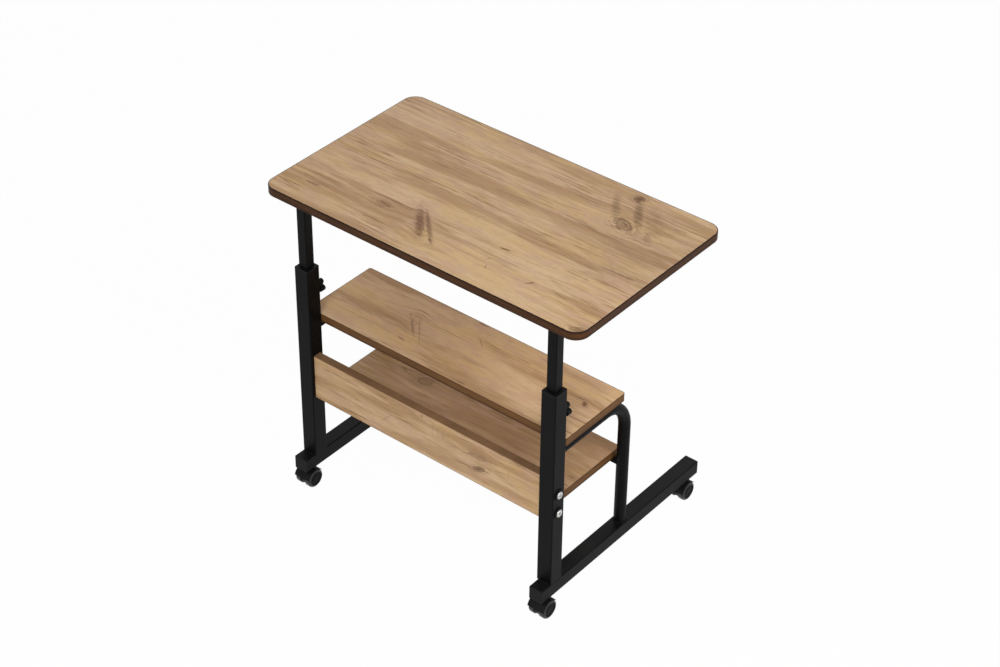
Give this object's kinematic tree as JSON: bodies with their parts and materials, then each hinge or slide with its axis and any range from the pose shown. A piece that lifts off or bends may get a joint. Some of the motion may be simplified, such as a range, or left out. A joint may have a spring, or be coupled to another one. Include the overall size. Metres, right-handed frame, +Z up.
{
  "type": "laptop table",
  "caption": "Rolling laptop table: a board top cantilevered on telescoping posts, with shelves below, clamp knobs, and swivel casters under long feet.",
  "frame": {"origin": "on the floor, midway between the two feet and midway along them", "axes": "+X along the tabletop, +Y from the posts to the open side where the user sits, +Z up"},
  "size_m": [0.775, 0.522, 0.7205],
  "materials": {
    "oak_board": "satin oak-grain laminate",
    "brown_edge": "dark brown wood-print edge band",
    "oak_edge": "mid-brown oak-print edge band",
    "black_steel": "satin black powder coat",
    "black_plastic": "fine-textured black moulding",
    "zinc_steel": "bright zinc plate",
    "beech": "plain fluted beech"
  },
  "bodies": {
    "frame": {"back_panel": "oak_board", "back_panel_edge_bands": "oak_edge", "caster_nuts": "zinc_steel", "caster_stems": "zinc_steel", "foot_end_caps": "black_plastic", "left_foot": "black_steel", "left_lock_nut": "zinc_steel", "left_post": "black_steel", "left_post_collar": "black_plastic", "left_shelf_support": "black_steel", "left_shelf_tab": "black_steel", "lower_shelf": "oak_board", "lower_shelf_edge_bands": "oak_edge", "lower_shelf_screws": "zinc_steel", "panel_barrel_nuts": "zinc_steel", "panel_bolt_washers": "black_plastic", "panel_bolts": "zinc_steel", "right_foot": "black_steel", "right_lock_nut": "zinc_steel", "right_post": "black_steel", "right_post_collar": "black_plastic", "right_shelf_support": "black_steel", "right_shelf_tab": "black_steel", "shelf_dowels": "beech", "upper_shelf": "oak_board", "upper_shelf_edge_bands": "oak_edge", "upper_shelf_screws": "zinc_steel"},
    "left_clamp_screw": {"left_lock_screw": "zinc_steel"},
    "left_knob": {"left_lock_knob": "black_plastic"},
    "right_clamp_screw": {"right_lock_screw": "zinc_steel"},
    "right_knob": {"right_lock_knob": "black_plastic"},
    "rear_left_swivel": {"rear_left_caster_hood": "black_plastic", "rear_left_caster_axle": "zinc_steel"},
    "rear_left_outer_roller": {"rear_left_outer_wheel": "black_plastic"},
    "rear_left_inner_roller": {"rear_left_inner_wheel": "black_plastic"},
    "rear_right_swivel": {"rear_right_caster_hood": "black_plastic", "rear_right_caster_axle": "zinc_steel"},
    "rear_right_outer_roller": {"rear_right_outer_wheel": "black_plastic"},
    "rear_right_inner_roller": {"rear_right_inner_wheel": "black_plastic"},
    "front_left_swivel": {"front_left_caster_hood": "black_plastic", "front_left_caster_axle": "zinc_steel"},
    "front_left_outer_roller": {"front_left_outer_wheel": "black_plastic"},
    "front_left_inner_roller": {"front_left_inner_wheel": "black_plastic"},
    "front_right_swivel": {"front_right_caster_hood": "black_plastic", "front_right_caster_axle": "zinc_steel"},
    "front_right_outer_roller": {"front_right_outer_wheel": "black_plastic"},
    "front_right_inner_roller": {"front_right_inner_wheel": "black_plastic"},
    "top": {"tabletop": "oak_board", "tabletop_edge_band": "brown_edge", "tabletop_screws": "zinc_steel", "top_arm_caps": "black_plastic", "left_inner_tube": "black_steel", "left_inner_tube_plug": "black_plastic", "left_top_arm": "black_steel", "right_inner_tube": "black_steel", "right_inner_tube_plug": "black_plastic", "right_top_arm": "black_steel"}
  },
  "joints": [
    {"name": "height_slide", "type": "slide", "parent": "frame", "child": "top", "axis": [0, 0, 1], "range_m": [-0.1, 0.05]},
    {"name": "left_knob_turn", "type": "hinge", "parent": "left_clamp_screw", "child": "left_knob", "pos_m": [-0.3105, -0.19, 0.484], "axis": [0, 1, 0], "range_deg": [0, 720]},
    {"name": "left_screw_travel", "type": "slide", "parent": "frame", "child": "left_clamp_screw", "axis": [0, 1, 0], "range_m": [0, 0.0025]},
    {"name": "right_knob_turn", "type": "hinge", "parent": "right_clamp_screw", "child": "right_knob", "pos_m": [0.3105, -0.19, 0.484], "axis": [0, 1, 0], "range_deg": [0, 720]},
    {"name": "right_screw_travel", "type": "slide", "parent": "frame", "child": "right_clamp_screw", "axis": [0, 1, 0], "range_m": [0, 0.0025]},
    {"name": "rear_left_caster_swivel", "type": "hinge", "parent": "frame", "child": "rear_left_swivel", "pos_m": [-0.312, -0.233, 0.0455], "axis": [0, 0, 1], "continuous": true},
    {"name": "rear_left_outer_wheel_roll", "type": "hinge", "parent": "rear_left_swivel", "child": "rear_left_outer_roller", "pos_m": [-0.312, -0.238, 0.021], "axis": [1, 0, 0], "continuous": true},
    {"name": "rear_left_inner_wheel_roll", "type": "hinge", "parent": "rear_left_swivel", "child": "rear_left_inner_roller", "pos_m": [-0.312, -0.238, 0.021], "axis": [1, 0, 0], "continuous": true},
    {"name": "rear_right_caster_swivel", "type": "hinge", "parent": "frame", "child": "rear_right_swivel", "pos_m": [0.312, -0.233, 0.0455], "axis": [0, 0, 1], "continuous": true},
    {"name": "rear_right_outer_wheel_roll", "type": "hinge", "parent": "rear_right_swivel", "child": "rear_right_outer_roller", "pos_m": [0.312, -0.238, 0.021], "axis": [1, 0, 0], "continuous": true},
    {"name": "rear_right_inner_wheel_roll", "type": "hinge", "parent": "rear_right_swivel", "child": "rear_right_inner_roller", "pos_m": [0.312, -0.238, 0.021], "axis": [1, 0, 0], "continuous": true},
    {"name": "front_left_caster_swivel", "type": "hinge", "parent": "frame", "child": "front_left_swivel", "pos_m": [-0.312, 0.233, 0.0455], "axis": [0, 0, 1], "continuous": true},
    {"name": "front_left_outer_wheel_roll", "type": "hinge", "parent": "front_left_swivel", "child": "front_left_outer_roller", "pos_m": [-0.312, 0.228, 0.021], "axis": [1, 0, 0], "continuous": true},
    {"name": "front_left_inner_wheel_roll", "type": "hinge", "parent": "front_left_swivel", "child": "front_left_inner_roller", "pos_m": [-0.312, 0.228, 0.021], "axis": [1, 0, 0], "continuous": true},
    {"name": "front_right_caster_swivel", "type": "hinge", "parent": "frame", "child": "front_right_swivel", "pos_m": [0.312, 0.233, 0.0455], "axis": [0, 0, 1], "continuous": true},
    {"name": "front_right_outer_wheel_roll", "type": "hinge", "parent": "front_right_swivel", "child": "front_right_outer_roller", "pos_m": [0.312, 0.228, 0.021], "axis": [1, 0, 0], "continuous": true},
    {"name": "front_right_inner_wheel_roll", "type": "hinge", "parent": "front_right_swivel", "child": "front_right_inner_roller", "pos_m": [0.312, 0.228, 0.021], "axis": [1, 0, 0], "continuous": true}
  ],
  "couplings": [
    {"joint": "left_screw_travel", "follows": "left_knob_turn", "m_per_rad": 0.00019894},
    {"joint": "right_screw_travel", "follows": "right_knob_turn", "m_per_rad": 0.00019894}
  ]
}
